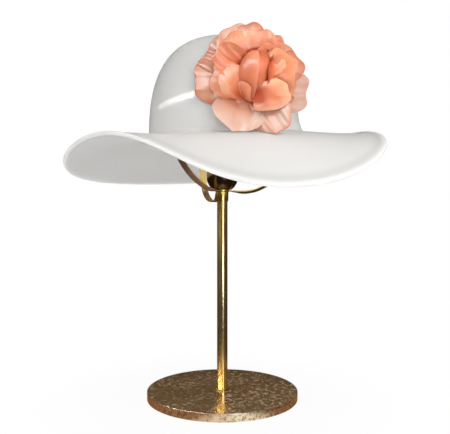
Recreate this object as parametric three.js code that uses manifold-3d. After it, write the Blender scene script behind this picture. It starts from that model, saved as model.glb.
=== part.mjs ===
// Table lamp with a frosted glass sun hat for a shade and a silk rose on its crown.
// Millimetres, +Z up. The origin is the centre of the base's underside, on the axis of the stem.
// -Y is the lamp's front.

import * as THREE from 'three';
import { mergeVertices } from 'three/addons/utils/BufferGeometryUtils.js';
import Module from 'manifold-3d';

const wasm = await Module();
wasm.setup();

// ---------------------------------------------------------------- driving dimensions

const GAP = 0.3;                 // between pieces that touch
const ROUND = 64;                // sides of a large circle
const MIDDLE_ROUND = 32;         // sides of a middling one
const SMALL_ROUND = 24;          // sides of a small circle

const BASE_RADIUS = 101.5;
const BASE_HEIGHT = 11;
const FELT_RADIUS = 97;
const FELT_THICK = 1.5;
const BAND_THICK = 0.9;
const BAND_BOTTOM = 0.8;
const BAND_SEAM_AT = 231;        // degrees about +Z
const BAND_SEAM_GAP = 0.6;
const PLATE_THICK = 1.2;
const RECESS_RADIUS = 12.5;      // in the weight, round the nut
const RECESS_TOP = 6.5;

const LEAD_Z = 5.2;              // height of the lead's way in at the back
const BUSH_RADIUS = 2.9;
const BUSH_BORE = 2;
const BUSH_FLANGE = 4.2;
const BUSH_LENGTH = 9;
const BUSH_FLANGE_THICK = 1.6;

const PIPE_RADIUS = 5;
const PIPE_BORE = 3.5;
const PIPE_CLEAR = PIPE_RADIUS + GAP;
const PIPE_TOP = 292;
const NUT_RADIUS = 8;            // to its corners
const WASHER_RADIUS = 11;
const WASHER_THICK = 1.2;
const FOOT_RING_RADIUS = 8.6;
const FOOT_RING_THICK = 0.8;
const STEM_RADIUS = 7.1;
const STEM_WALL = 1;

const COLLAR_RADIUS = 8.3;
const COLLAR_BOTTOM = 265.9;
const HUB_BOTTOM = 278.5;
const HUB_TOP = 281.5;
const HUB_RADIUS = 9.4;

const ARM_WIDTH = 9;
const ARM_THICK = 1.8;
const ARM_TIP_RADIUS = 92.4;     // distance of the upright tips from the stem's axis
const ARM_TIP_TOP = 363;
const PAD_HEIGHT = 11;
const PAD_WALL = 0.9;

const CUP_RADIUS = 21.5;
const CUP_WALL = 1;
const CUP_CENTRE_Z = 299.3;
const CUP_BOTTOM = HUB_TOP + GAP;
const CUP_TOP = 306;

const HOLDER_RADIUS = 16.5;
const HOLDER_WALL = 1.2;
const HOLDER_BOTTOM = 286.6;
const HOLDER_SHOULDER = 297;     // where its base meets its sleeve
const HOLDER_TOP = 322;
const CONTACT_RADIUS = 4;
const LINER_RADIUS = 13.9;
const LINER_WALL = 0.5;
const CAP_RADIUS = 13;
const CAP_BOTTOM = 305.5;
const CAP_TOP = 326;
const BULB_RADIUS = 30;
const BULB_TOP = 412;
const BULB_WALL = 1;
const CAP_WALL = 0.5;

const GLASS_THICK = 4;
const RIM_BEAD = 0.6;            // how far the rim's bead stands proud of each face
const CROWN_RADIUS = 100.5;
const CROWN_SHIFT = 1.5;         // of the crown's axis from the stem's, along +X
const CROWN_TOP = 484.5;
const CROWN_FLATNESS = 2.8;      // exponents of the crown's outline, 2 being an ellipse
const CROWN_FULLNESS = 2.5;
const FOLD_WIDTH = 11;           // of the curve where crown meets brim
const BRIM_START_SLOPE = 0.35;   // as a share of the brim's mean slope

const FLOWER_AT = 286.5;         // degrees about +Z
const FLOWER_Z = 402;
const FLOWER_TILT = 12;          // degrees above level
const FLOWER_STEM_RADIUS = 3;
const FLOWER_BACK_RADIUS = 22;
const PAD_STAND_OFF = 1.6;       // of the rose's pad from the glass, on its axis

// ---------------------------------------------------------------- materials

function finish(color, roughness, metalness = 0) {
  return new THREE.MeshStandardMaterial({ color, roughness, metalness });
}

const BRASS = finish('#b8954a', 0.28, 1);
const DARK_BRASS = finish('#6f5c39', 0.42, 1);
const STEEL = finish('#8b8d8f', 0.45, 1);
const IRON = finish('#4a4745', 0.7, 0.8);
const FELT = finish('#3d352c', 0.95);
const RUBBER = finish('#d9d6cc', 0.6);
const PHENOLIC = finish('#2a2523', 0.4);
const CERAMIC = finish('#e8e4da', 0.5);
const BULB = finish('#f4f2ec', 0.3);
const FROSTED_GLASS = finish('#dedede', 0.55);
const SILK_PALE = finish('#e6b9a8', 0.6);
const SILK = finish('#f0a07e', 0.6);
const SILK_DEEP = finish('#d9714c', 0.6);

// ---------------------------------------------------------------- helpers

const lamp = new THREE.Group();

function radians(degrees) {
  return degrees * Math.PI / 180;
}

function addMesh(name, geometry, material, parent = lamp) {
  const mesh = new THREE.Mesh(geometry, material);
  mesh.name = name;
  parent.add(mesh);
  return mesh;
}

// Turns a closed or axis-to-axis outline of [radius, height] points about Z.
function turned(outline, sides = ROUND) {
  const points = outline.map(([r, z]) => new THREE.Vector2(r, z));
  return new THREE.LatheGeometry(points, sides).rotateX(Math.PI / 2);
}

function disc(radius, bottom, top, sides = ROUND) {
  return turned([[0, bottom], [radius, bottom], [radius, top], [0, top]], sides);
}

function ring(inner, outer, bottom, top, sides = SMALL_ROUND) {
  return turned([[inner, bottom], [outer, bottom], [outer, top], [inner, top], [inner, bottom]], sides);
}

function hexNut(bottom, top) {
  const shape = new THREE.Shape();
  for (let i = 0; i < 6; i += 1) {
    const angle = i * Math.PI / 3;
    const corner = [NUT_RADIUS * Math.cos(angle), NUT_RADIUS * Math.sin(angle)];
    if (i === 0) shape.moveTo(...corner);
    else shape.lineTo(...corner);
  }
  shape.closePath();
  const bore = new THREE.Path();
  bore.absarc(0, 0, PIPE_CLEAR, 0, 2 * Math.PI, true);
  shape.holes.push(bore);
  const options = { depth: top - bottom, bevelEnabled: false, curveSegments: 12 };
  return new THREE.ExtrudeGeometry(shape, options).translate(0, 0, bottom);
}

function toManifold(geometry) {
  const bare = geometry.clone();
  bare.deleteAttribute('normal');
  bare.deleteAttribute('uv');
  const merged = mergeVertices(bare, 1e-4);
  return new wasm.Manifold(new wasm.Mesh({
    numProp: 3,
    vertProperties: new Float32Array(merged.attributes.position.array),
    triVerts: new Uint32Array(merged.index.array),
  }));
}

function fromManifold(solid) {
  const mesh = solid.getMesh();
  const geometry = new THREE.BufferGeometry();
  geometry.setAttribute('position', new THREE.BufferAttribute(mesh.vertProperties, 3));
  geometry.setIndex(new THREE.BufferAttribute(mesh.triVerts, 1));
  geometry.computeVertexNormals();
  return geometry;
}

function cut(geometry, ...tools) {
  let solid = toManifold(geometry);
  for (const tool of tools) {
    solid = solid.subtract(toManifold(tool));
  }
  return fromManifold(solid);
}

// Joins rings of equal numbers of points into a closed skin. A ring of one point is a tip.
function skin(rings) {
  const positions = [];
  const starts = [];
  for (const points of rings) {
    starts.push(positions.length / 3);
    for (const point of points) positions.push(...point);
  }
  const triangles = [];
  for (let k = 0; k + 1 < rings.length; k += 1) {
    const [here, next] = [rings[k], rings[k + 1]];
    const count = Math.max(here.length, next.length);
    for (let i = 0; i < count; i += 1) {
      const j = (i + 1) % count;
      const a = starts[k] + i % here.length;
      const b = starts[k] + j % here.length;
      const c = starts[k + 1] + j % next.length;
      const d = starts[k + 1] + i % next.length;
      if (here.length > 1) triangles.push(a, c, b);
      if (next.length > 1) triangles.push(a, d, c);
    }
  }
  const geometry = new THREE.BufferGeometry();
  geometry.setAttribute('position', new THREE.Float32BufferAttribute(positions, 3));
  geometry.setIndex(triangles);
  geometry.computeVertexNormals();
  return geometry;
}

// Rings of points about Z for an outline that starts and ends on the axis.
function turnRings(outline, sides) {
  return outline.map(([r, z]) => {
    if (r === 0) return [[0, 0, z]];
    return Array.from({ length: sides }, (_, i) => {
      const angle = 2 * Math.PI * i / sides;
      return [r * Math.cos(angle), r * Math.sin(angle), z];
    });
  });
}

// ---------------------------------------------------------------- base

function leadTool(radius, from, to) {
  return new THREE.CylinderGeometry(radius, radius, to - from, SMALL_ROUND)
    .translate(0, (from + to) / 2, LEAD_Z);
}

function edgeBand() {
  const inner = BASE_RADIUS - BAND_THICK;
  const half = BAND_SEAM_GAP / 2 / BASE_RADIUS;
  const start = radians(BAND_SEAM_AT) + half;
  const end = start + 2 * Math.PI - 2 * half;
  const shape = new THREE.Shape();
  shape.absarc(0, 0, BASE_RADIUS, start, end, false);
  shape.absarc(0, 0, inner, end, start, true);
  shape.closePath();
  const options = { depth: BASE_HEIGHT - BAND_BOTTOM, bevelEnabled: false, curveSegments: ROUND };
  const band = new THREE.ExtrudeGeometry(shape, options).translate(0, 0, BAND_BOTTOM);
  return cut(band, leadTool(BUSH_RADIUS + GAP, inner - 2, BASE_RADIUS + 2));
}

function weight() {
  const radius = BASE_RADIUS - BAND_THICK - GAP;
  const bottom = FELT_THICK + GAP;
  const top = BASE_HEIGHT - PLATE_THICK - GAP;
  const body = turned([
    [RECESS_RADIUS, bottom], [radius, bottom], [radius, top], [PIPE_CLEAR, top],
    [PIPE_CLEAR, RECESS_TOP], [RECESS_RADIUS, RECESS_TOP], [RECESS_RADIUS, bottom],
  ]);
  const half = BUSH_RADIUS + GAP;
  const channel = new THREE.BoxGeometry(2 * half, radius + 2, LEAD_Z + half)
    .translate(0, (radius + 2) / 2, (LEAD_Z + half) / 2);
  return cut(body, channel);
}

function leadBush() {
  const inner = BASE_RADIUS + GAP - BUSH_LENGTH;
  const outside = BASE_RADIUS + GAP;
  const end = outside + BUSH_FLANGE_THICK;
  return turned([
    [BUSH_BORE, inner], [BUSH_RADIUS, inner], [BUSH_RADIUS, outside], [BUSH_FLANGE, outside],
    [BUSH_FLANGE, end - 0.5], [BUSH_FLANGE - 0.5, end], [BUSH_BORE, end], [BUSH_BORE, inner],
  ], SMALL_ROUND).rotateX(-Math.PI / 2).translate(0, 0, LEAD_Z);
}

function addBase() {
  const plateRadius = BASE_RADIUS - BAND_THICK - GAP;
  const plateBottom = BASE_HEIGHT - PLATE_THICK;
  const washerTop = RECESS_TOP - GAP;
  const washerBottom = washerTop - WASHER_THICK;
  const nutBottom = FELT_THICK + GAP;
  addMesh('base_felt', disc(FELT_RADIUS, 0, FELT_THICK), FELT);
  addMesh('base_weight', weight(), IRON);
  addMesh('base_plate', ring(PIPE_CLEAR, plateRadius, plateBottom, BASE_HEIGHT, ROUND), DARK_BRASS);
  addMesh('base_edge_band', edgeBand(), BRASS);
  addMesh('cord_bushing', leadBush(), PHENOLIC);
  addMesh('base_washer', ring(PIPE_CLEAR, WASHER_RADIUS, washerBottom, washerTop), STEEL);
  addMesh('base_nut', hexNut(nutBottom, washerBottom - GAP), STEEL);
}

// ---------------------------------------------------------------- stem

function addStem() {
  const ringBottom = BASE_HEIGHT + GAP;
  const ringTop = ringBottom + FOOT_RING_THICK;
  const tubeBottom = ringTop + GAP;
  const tubeTop = COLLAR_BOTTOM - GAP;
  const collarTop = HUB_BOTTOM - GAP;
  const edge = 0.6;
  addMesh('stem_pipe', ring(PIPE_BORE, PIPE_RADIUS, FELT_THICK + GAP, PIPE_TOP), STEEL);
  addMesh('foot_ring', ring(PIPE_CLEAR, FOOT_RING_RADIUS, ringBottom, ringTop), BRASS);
  addMesh('stem_tube', ring(STEM_RADIUS - STEM_WALL, STEM_RADIUS, tubeBottom, tubeTop), BRASS);
  addMesh('collar', turned([
    [PIPE_CLEAR, COLLAR_BOTTOM], [COLLAR_RADIUS - edge, COLLAR_BOTTOM],
    [COLLAR_RADIUS, COLLAR_BOTTOM + edge], [COLLAR_RADIUS, collarTop],
    [PIPE_CLEAR, collarTop], [PIPE_CLEAR, COLLAR_BOTTOM],
  ], SMALL_ROUND), BRASS);
}

// ---------------------------------------------------------------- shade carrier

// Each arm is a strip bent by hand, so each has its own side profile of [radius, height] points
// from the hub to the tip, and the strip of one is rolled about its own length between its ends.
// The last stretch of all three stands upright inside the crown.
const ARM_START = [HUB_RADIUS + ARM_THICK / 2, (HUB_BOTTOM + HUB_TOP) / 2];
const ARM_END = [
  [ARM_TIP_RADIUS - 0.6, 345], [ARM_TIP_RADIUS, 351], [ARM_TIP_RADIUS, 357], [ARM_TIP_RADIUS, ARM_TIP_TOP],
];
const ARMS = [
  {
    name: 'front',
    at: 230,
    roll: 0,
    profile: [
      [19, 280.2], [30, 282.4], [43, 287.6], [55, 294], [66, 302], [75, 310.5], [83, 320.5], [89.4, 335],
    ],
  },
  {
    name: 'rear',
    at: 112,
    roll: 0,
    profile: [
      [14, 277], [17, 270.5], [22, 266.8], [33, 266.4], [46, 268.2], [57.5, 273.4], [66.5, 281.6],
      [73, 296], [79.5, 315], [87.4, 335],
    ],
  },
  {
    name: 'right',
    at: 350,
    roll: -18,
    profile: [
      [18, 279], [29, 278], [39, 279], [48, 281.4], [57, 285.6], [65.5, 291], [74, 300],
      [82, 314], [88.4, 331],
    ],
  },
];

// How far along an arm its roll has come in, and where it has gone again, as shares of its length.
const ROLL_IN = 0.16;
const ROLL_HOLD = 0.5;
const ROLL_OUT = 0.85;

function rollAt(share, roll) {
  const coming = THREE.MathUtils.smoothstep(share, 0, ROLL_IN);
  const going = THREE.MathUtils.smoothstep(share, ROLL_HOLD, ROLL_OUT);
  return radians(roll) * coming * (1 - going);
}

// The strip of one arm, in a frame with the arm's radius along X and its width along Y.
function strip(points, roll) {
  const steps = 4 * points.length;
  const curve = new THREE.SplineCurve(points.map(([r, z]) => new THREE.Vector2(r, z)));
  const rings = [];
  for (let i = 0; i <= steps; i += 1) {
    const centre = curve.getPoint(i / steps);
    const along = curve.getTangent(i / steps);
    const turn = rollAt(i / steps, roll);
    const across = new THREE.Vector3(-along.y, 0, along.x);
    const side = new THREE.Vector3(0, 1, 0);
    const thick = across.clone().multiplyScalar(Math.cos(turn)).addScaledVector(side, -Math.sin(turn));
    const wide = side.clone().multiplyScalar(Math.cos(turn)).addScaledVector(across, Math.sin(turn));
    rings.push([[-1, -1], [1, -1], [1, 1], [-1, 1]].map(([t, w]) => (
      new THREE.Vector3(centre.x, 0, centre.y)
        .addScaledVector(thick, t * ARM_THICK / 2)
        .addScaledVector(wide, w * ARM_WIDTH / 2)
        .toArray())));
  }
  const first = curve.getPoint(0);
  const last = curve.getPoint(1);
  return skin([[[first.x, 0, first.y]], ...rings, [[last.x, 0, last.y]]]);
}

function tipPad() {
  const inside = ARM_WIDTH + 2 * GAP;
  const thick = ARM_THICK + 2 * GAP;
  const bottom = ARM_TIP_TOP - PAD_HEIGHT;
  const top = ARM_TIP_TOP + GAP + PAD_WALL;
  const outer = new THREE.BoxGeometry(thick + 2 * PAD_WALL, inside + 2 * PAD_WALL, top - bottom)
    .translate(ARM_TIP_RADIUS, 0, (top + bottom) / 2);
  const pocket = new THREE.BoxGeometry(thick, inside, PAD_HEIGHT + 2 * GAP)
    .translate(ARM_TIP_RADIUS, 0, ARM_TIP_TOP - PAD_HEIGHT / 2);
  return cut(outer, pocket);
}

function addArm({ name, at, roll, profile }) {
  const holder = new THREE.Group();
  holder.rotation.z = radians(at);
  lamp.add(holder);
  addMesh(`arm_${name}`, strip([ARM_START, ...profile, ...ARM_END], roll), BRASS, holder);
  addMesh(`arm_pad_${name}`, tipPad(), RUBBER, holder);
}

function addCarrier() {
  addMesh('arm_hub', ring(PIPE_CLEAR, HUB_RADIUS, HUB_BOTTOM, HUB_TOP), BRASS);
  ARMS.forEach(addArm);
}

// ---------------------------------------------------------------- socket cup and lampholder

// Points of a circle about the cup's centre, from a flat bottom up to its widest height.
function bowlArc(radius, bottom) {
  const start = Math.asin((CUP_CENTRE_Z - bottom) / radius);
  const steps = 7;
  const points = [];
  for (let i = 0; i <= steps; i += 1) {
    const angle = start * (1 - i / steps);
    points.push([radius * Math.cos(angle), CUP_CENTRE_Z - radius * Math.sin(angle)]);
  }
  return points;
}

function cup() {
  const outside = bowlArc(CUP_RADIUS, CUP_BOTTOM);
  const floor = CUP_BOTTOM + CUP_WALL;
  const inside = bowlArc(CUP_RADIUS - CUP_WALL, floor).reverse();
  return turned([
    [PIPE_CLEAR, CUP_BOTTOM], ...outside, [CUP_RADIUS, CUP_TOP],
    [CUP_RADIUS - CUP_WALL, CUP_TOP], ...inside, [PIPE_CLEAR, floor], [PIPE_CLEAR, CUP_BOTTOM],
  ], MIDDLE_ROUND);
}

function holderBase() {
  const footRadius = 11;
  const waist = [14.6, 291];
  return turned([
    [PIPE_CLEAR, HOLDER_BOTTOM], [footRadius, HOLDER_BOTTOM], waist, [HOLDER_RADIUS, HOLDER_SHOULDER],
    [PIPE_CLEAR, HOLDER_SHOULDER], [PIPE_CLEAR, HOLDER_BOTTOM],
  ], SMALL_ROUND);
}

function addLampholder() {
  const nutBottom = CUP_BOTTOM + CUP_WALL + GAP;
  const bodyBottom = HOLDER_SHOULDER + GAP;
  const insulatorTop = bodyBottom + 2.4;
  const sleeveInner = HOLDER_RADIUS - HOLDER_WALL;
  const linerBottom = insulatorTop + GAP;
  const insulator = disc(sleeveInner - GAP, bodyBottom, insulatorTop, SMALL_ROUND);
  const sleeve = ring(sleeveInner, HOLDER_RADIUS, bodyBottom, HOLDER_TOP, MIDDLE_ROUND);
  const liner = ring(LINER_RADIUS - LINER_WALL, LINER_RADIUS, linerBottom, HOLDER_TOP - 1, MIDDLE_ROUND);
  addMesh('socket_cup', cup(), BRASS);
  addMesh('cup_nut', hexNut(nutBottom, HOLDER_BOTTOM - GAP), STEEL);
  addMesh('lampholder_base', holderBase(), PHENOLIC);
  addMesh('lampholder_insulator', insulator, CERAMIC);
  addMesh('lampholder_sleeve', sleeve, PHENOLIC);
  addMesh('lampholder_liner', liner, BRASS);
  addMesh('lampholder_contact', disc(CONTACT_RADIUS, linerBottom, linerBottom + 1.4, SMALL_ROUND), BRASS);
}

// ---------------------------------------------------------------- bulb

// Envelope open at its neck, where the cap closes it.
function bulbGlass() {
  const neck = 12.4;
  const neckHeight = 8;
  const centre = BULB_TOP - BULB_RADIUS;
  const bottom = CAP_TOP + GAP;
  const turn = radians(-38);       // where the neck runs into the globe
  const steps = 9;
  const face = (inset) => {
    const points = [[neck - inset, bottom], [neck + 0.6 - inset, bottom + neckHeight]];
    for (let i = 0; i <= steps; i += 1) {
      const angle = turn + (Math.PI / 2 - turn) * i / steps;
      const r = i === steps ? 0 : (BULB_RADIUS - inset) * Math.cos(angle);
      points.push([r, centre + (BULB_RADIUS - inset) * Math.sin(angle)]);
    }
    return points;
  };
  return skin(turnRings([...face(0).reverse(), ...face(BULB_WALL)], MIDDLE_ROUND));
}

// Screw cap, with a hole in its floor that the insulator below closes.
function bulbCap() {
  const hole = 9;
  const corner = 2;
  const inner = CAP_RADIUS - CAP_WALL;
  return turned([
    [hole, CAP_BOTTOM], [CAP_RADIUS - corner, CAP_BOTTOM], [CAP_RADIUS, CAP_BOTTOM + corner],
    [CAP_RADIUS, CAP_TOP], [inner, CAP_TOP], [inner, CAP_BOTTOM + corner],
    [inner - corner, CAP_BOTTOM + CAP_WALL], [hole, CAP_BOTTOM + CAP_WALL], [hole, CAP_BOTTOM],
  ], MIDDLE_ROUND);
}

function bulbInsulator() {
  const top = CAP_BOTTOM - GAP;
  const tip = top - 2.3;
  return turned([[0, tip], [CONTACT_RADIUS, tip], [9, top], [0, top]], SMALL_ROUND);
}

function addBulb() {
  addMesh('bulb_insulator', bulbInsulator(), PHENOLIC);
  addMesh('bulb_cap', bulbCap(), STEEL);
  addMesh('bulb_glass', bulbGlass(), BULB);
}

// ---------------------------------------------------------------- glass hat

// The rim wanders in plan and in height. Each wave is [size, number of waves round the brim,
// degrees at which its first crest stands].
const RIM_CENTRE = -7.8;
const RIM_RADIUS = 197.5;
const RIM_OVAL = 0.1515;
const RIM_OVAL_AT = 146.7;
const RIM_HEIGHT = 319.6;
const RIM_WAVES = [[8.7, 1, 21.4], [30.1, 2, 22.5], [12.3, 3, 114.1]];
const FOLD_HEIGHT = 349;
const FOLD_WAVES = [[5, 1, 0], [2, 2, 0]];
const FLARE_HEIGHT = 13;
const FLARE_WAVES = [[12, 1, 0], [4, 2, 0]];
const CROWN_SHARES = [0, 0.2, 0.36, 0.5, 0.62, 0.73, 0.82, 0.9, 0.96];
const HAT_SIDES = 48;

function wavy(mean, waves, angle) {
  return waves.reduce((sum, [size, count, at]) => sum + size * Math.cos(count * (angle - radians(at))), mean);
}

function rimPoint(angle) {
  const radius = RIM_RADIUS * (1 + RIM_OVAL * Math.cos(2 * (angle - radians(RIM_OVAL_AT))));
  const x = RIM_CENTRE + radius * Math.cos(angle);
  return new THREE.Vector3(x, radius * Math.sin(angle), wavy(RIM_HEIGHT, RIM_WAVES, angle));
}

function foldHeight(angle) {
  return wavy(FOLD_HEIGHT, FOLD_WAVES, angle);
}

function crownBottom(angle) {
  return foldHeight(angle) + wavy(FLARE_HEIGHT, FLARE_WAVES, angle);
}

function crownPoint(share, bottom) {
  const angle = share * Math.PI / 2;
  const r = CROWN_RADIUS * Math.sin(angle) ** (2 / CROWN_FLATNESS);
  const z = bottom + (CROWN_TOP - bottom) * Math.cos(angle) ** (2 / CROWN_FULLNESS);
  return new THREE.Vector2(r, z);
}

// Outer face of the hat in one upright plane through the crown's axis, from the top to the rim.
function hatOutline(angle) {
  const rim = rimPoint(angle);
  const reach = Math.hypot(rim.x - CROWN_SHIFT, rim.y);
  const fold = foldHeight(angle);
  const wallBottom = crownBottom(angle);
  const slope = BRIM_START_SLOPE * (rim.z - fold) / (reach - CROWN_RADIUS);
  const wallEnd = new THREE.Vector2(CROWN_RADIUS, wallBottom);
  const corner = new THREE.Vector2(CROWN_RADIUS + 3, fold + 1);
  const foldEnd = new THREE.Vector2(CROWN_RADIUS + FOLD_WIDTH, fold + slope * FOLD_WIDTH);
  const half = (reach - foldEnd.x) / 2;
  const middle = new THREE.Vector2(foldEnd.x + half, foldEnd.y + slope * half);
  const flare = new THREE.QuadraticBezierCurve(wallEnd, corner, foldEnd);
  const brim = new THREE.QuadraticBezierCurve(foldEnd, middle, new THREE.Vector2(reach, rim.z));
  const crown = CROWN_SHARES.map((share) => crownPoint(share, wallBottom));
  return [...crown, ...flare.getPoints(4), ...brim.getPoints(7).slice(1)];
}

// The whole section: out along the outer face, round the beaded rim and back along the inner face.
function hatSection(angle) {
  const outer = hatOutline(angle);
  const last = outer.length - 1;
  const inner = outer.map((point, i) => {
    const along = outer[Math.min(i + 1, last)].clone().sub(outer[Math.max(i - 1, 0)]).normalize();
    if (i === 0) along.set(1, 0);
    return new THREE.Vector2(point.x + along.y * GLASS_THICK, point.y - along.x * GLASS_THICK);
  });
  const out = outer[last].clone().sub(outer[last - 1]).normalize();
  const up = new THREE.Vector2(-out.y, out.x);
  const beadTop = outer[last].clone().addScaledVector(out, -2).addScaledVector(up, RIM_BEAD);
  const nose = outer[last].clone().addScaledVector(up, -GLASS_THICK / 2).addScaledVector(out, 1);
  const beadBottom = beadTop.clone().addScaledVector(up, -GLASS_THICK - 2 * RIM_BEAD);
  return [...outer.slice(0, last), beadTop, outer[last], nose, inner[last], beadBottom,
    ...inner.slice(0, last).reverse()];
}

function hat() {
  const sections = [];
  for (let i = 0; i < HAT_SIDES; i += 1) {
    const angle = 2 * Math.PI * i / HAT_SIDES;
    const rim = rimPoint(angle);
    const facing = Math.atan2(rim.y, rim.x - CROWN_SHIFT);
    sections.push(hatSection(angle).map(({ x, y }) => (
      [CROWN_SHIFT + x * Math.cos(facing), x * Math.sin(facing), y])));
  }
  const rings = sections[0].map((_, k) => sections.map((section) => section[k]));
  rings[0] = [rings[0][0]];
  rings[rings.length - 1] = [rings[rings.length - 1][0]];
  return skin(rings);
}

// ---------------------------------------------------------------- rose

// A bowl with a bored centre and a scalloped edge, about the rose's own axis.
function petalBowl(radius, depth, lift, thick, scallops, wave) {
  const outline = [
    [FLOWER_STEM_RADIUS + GAP, lift], [radius * 0.35, lift + depth * 0.04],
    [radius * 0.72, lift + depth * 0.42], [radius, lift + depth], [radius * 0.97, lift + depth + thick * 0.7],
    [radius * 0.68, lift + depth * 0.42 + thick], [radius * 0.33, lift + depth * 0.04 + thick],
    [FLOWER_STEM_RADIUS + GAP, lift + thick],
  ];
  const sides = 30;
  const rings = outline.map(([r, z]) => Array.from({ length: sides }, (_, i) => {
    const angle = 2 * Math.PI * i / sides;
    const share = (r / radius) ** 3;
    const reach = r * (1 + wave * share * Math.cos(scallops * angle));
    return [reach * Math.cos(angle), reach * Math.sin(angle), z];
  }));
  return skin([...rings, rings[0]].reverse());
}

function bud(lift, radius, height) {
  const outline = [[0, lift], [radius * 0.55, lift + height * 0.06]];
  const steps = 6;
  for (let i = 0; i <= steps; i += 1) {
    const angle = -0.6 + (Math.PI / 2 + 0.6) * i / steps;
    const r = i === steps ? 0 : radius * Math.cos(angle);
    outline.push([r, lift + height * (0.45 + 0.55 * Math.sin(angle))]);
  }
  return turned(outline, SMALL_ROUND);
}

function addRose() {
  const bottom = crownBottom(radians(FLOWER_AT));
  const rise = (FLOWER_Z - bottom) / (CROWN_TOP - bottom);
  const wall = CROWN_RADIUS * (1 - rise ** CROWN_FULLNESS) ** (1 / CROWN_FLATNESS);
  const facing = new THREE.Group();
  facing.position.set(CROWN_SHIFT, 0, FLOWER_Z);
  facing.rotation.z = radians(FLOWER_AT);
  lamp.add(facing);
  const rose = new THREE.Group();
  rose.position.x = wall + PAD_STAND_OFF;
  rose.rotation.y = radians(90 - FLOWER_TILT);
  facing.add(rose);
  addMesh('flower_pad', disc(11, 0, 2.2, SMALL_ROUND), RUBBER, rose);
  addMesh('flower_back', disc(FLOWER_BACK_RADIUS, 2.5, 4.5, SMALL_ROUND), FELT, rose);
  addMesh('flower_stem', disc(FLOWER_STEM_RADIUS, 4.8, 22, SMALL_ROUND), FELT, rose);
  addMesh('petals_outer', petalBowl(63, 22, 5, 5, 5, 0.06), SILK_PALE, rose);
  addMesh('petals_middle', petalBowl(48, 24, 11, 5, 5, -0.06), SILK, rose);
  addMesh('petals_inner', petalBowl(31, 26, 17, 5, 3, 0.06), SILK, rose);
  addMesh('flower_bud', bud(22.6, 17, 34), SILK_DEEP, rose);
}

addBase();
addStem();
addCarrier();
addLampholder();
addBulb();
addMesh('hat_shade', hat(), FROSTED_GLASS);
addRose();

export default lamp;
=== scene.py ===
"""Looks of the hat-shaped table lamp: glass hat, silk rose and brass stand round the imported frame."""

import math

import bmesh
import bpy
from mathutils import Matrix, Vector, noise
from mathutils.bvhtree import BVHTree


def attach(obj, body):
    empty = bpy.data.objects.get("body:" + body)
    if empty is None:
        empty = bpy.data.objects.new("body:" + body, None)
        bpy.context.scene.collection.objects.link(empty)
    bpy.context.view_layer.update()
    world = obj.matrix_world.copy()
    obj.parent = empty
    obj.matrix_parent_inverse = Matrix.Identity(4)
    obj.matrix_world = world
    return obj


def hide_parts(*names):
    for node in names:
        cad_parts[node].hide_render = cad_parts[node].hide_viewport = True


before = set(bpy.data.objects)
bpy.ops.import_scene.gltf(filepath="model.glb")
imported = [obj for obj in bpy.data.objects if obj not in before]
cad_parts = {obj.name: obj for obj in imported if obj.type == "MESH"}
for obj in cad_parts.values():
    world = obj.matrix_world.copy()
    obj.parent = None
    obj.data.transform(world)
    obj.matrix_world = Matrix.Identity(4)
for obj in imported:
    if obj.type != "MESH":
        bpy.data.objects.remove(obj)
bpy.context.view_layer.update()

MM = 0.001
STAND, SHADE = "stand", "shade"

# Camera: how far in front of the stem, how high, and the width of its view.
EYE_DISTANCE = 797 * MM
EYE_HEIGHT = 247.2 * MM
LENS = 46.88
SENSOR = 36.0
SHIFT = (0.006, -0.0044)

WHITE = (1.0, 1.0, 1.0)

# Light as (height, colour) stops, from -1 straight down to 1 straight up: the soft sky that matt surfaces
# see, and the dim room that glossy ones mirror.
SKY = [(-1.0, (0.50, 0.50, 0.495)), (0.0, (0.48, 0.48, 0.475)), (1.0, (0.50, 0.50, 0.495))]
ROOM = [(0.11, (0.06, 0.042, 0.03)), (0.25, (0.13, 0.10, 0.065)), (0.9, (0.24, 0.21, 0.17))]

# Lights: place, target, width and height, watts, colour, and the only kind of ray that sees it. The windows
# are mirrored, and the other three only light matt surfaces.
COOL = (0.8, 0.94, 1.9)
WARM = (1.0, 0.95, 0.8)
LIGHTS = {
    "window_low": ((0.42, -1.15, 0.05), (0, 0, 0.1), (0.30, 0.38), 3.4, COOL, "glossy"),
    "window_high": ((0.42, -1.15, 0.62), (0, 0, 0.4), (0.30, 0.76), 3.7, WARM, "glossy"),
    "front": ((0.3, -1.3, 0.6), (0, 0, 0.25), (0.8, 0.8), 4.5, WHITE, "diffuse"),
    "left": ((-1.3, -0.7, 0.45), (0, 0, 0.36), (0.9, 0.9), 3.6, WHITE, "diffuse"),
    "top": ((0.9, -1.0, 1.25), (0, 0, 0.33), (0.9, 0.9), 15.8, WHITE, "diffuse"),
}

# A thin strip of light that is only mirrored: its corners, height and width, what it faces, and the watts per
# metre of each stretch.
CORNICE = [(-0.2, -1.35), (-0.9, -1.1), (-1.55, -0.6), (-1.95, 0.0), (-2.2, 0.9)]
CORNICE_HEIGHT = 1.0
CORNICE_WIDTH = 0.11
CORNICE_FACES = (0, 0, 0.4)
CORNICE_POWERS = [20.0, 20.0, 12.0, 4.5]

# Floor: its colour and its share of plain white, which grows between two distances from the stem. Metal
# mirrors another one: a band of window light to the front and back, brown beside it, and dark further out.
FLOOR_RADIUS = 4.0
FLOOR_SIDES = 96
FLOOR_COLOUR = (0.80, 0.80, 0.80, 1)
FLOOR_WHITE = (0.93, 1.0)
FLOOR_FADE = (0.1, 0.3)
GLEAM_COLOUR = (0.95, 1.05, 1.2)
GLEAM_AT = 0.015
GLEAM_WIDTH = (0.025, 0.07)
MIRRORED_COLOUR = (0.29, 0.165, 0.115)
MIRRORED_FAR = (0.04, 0.028, 0.02)
MIRRORED_FADE = (0.14, 0.19)

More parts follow.
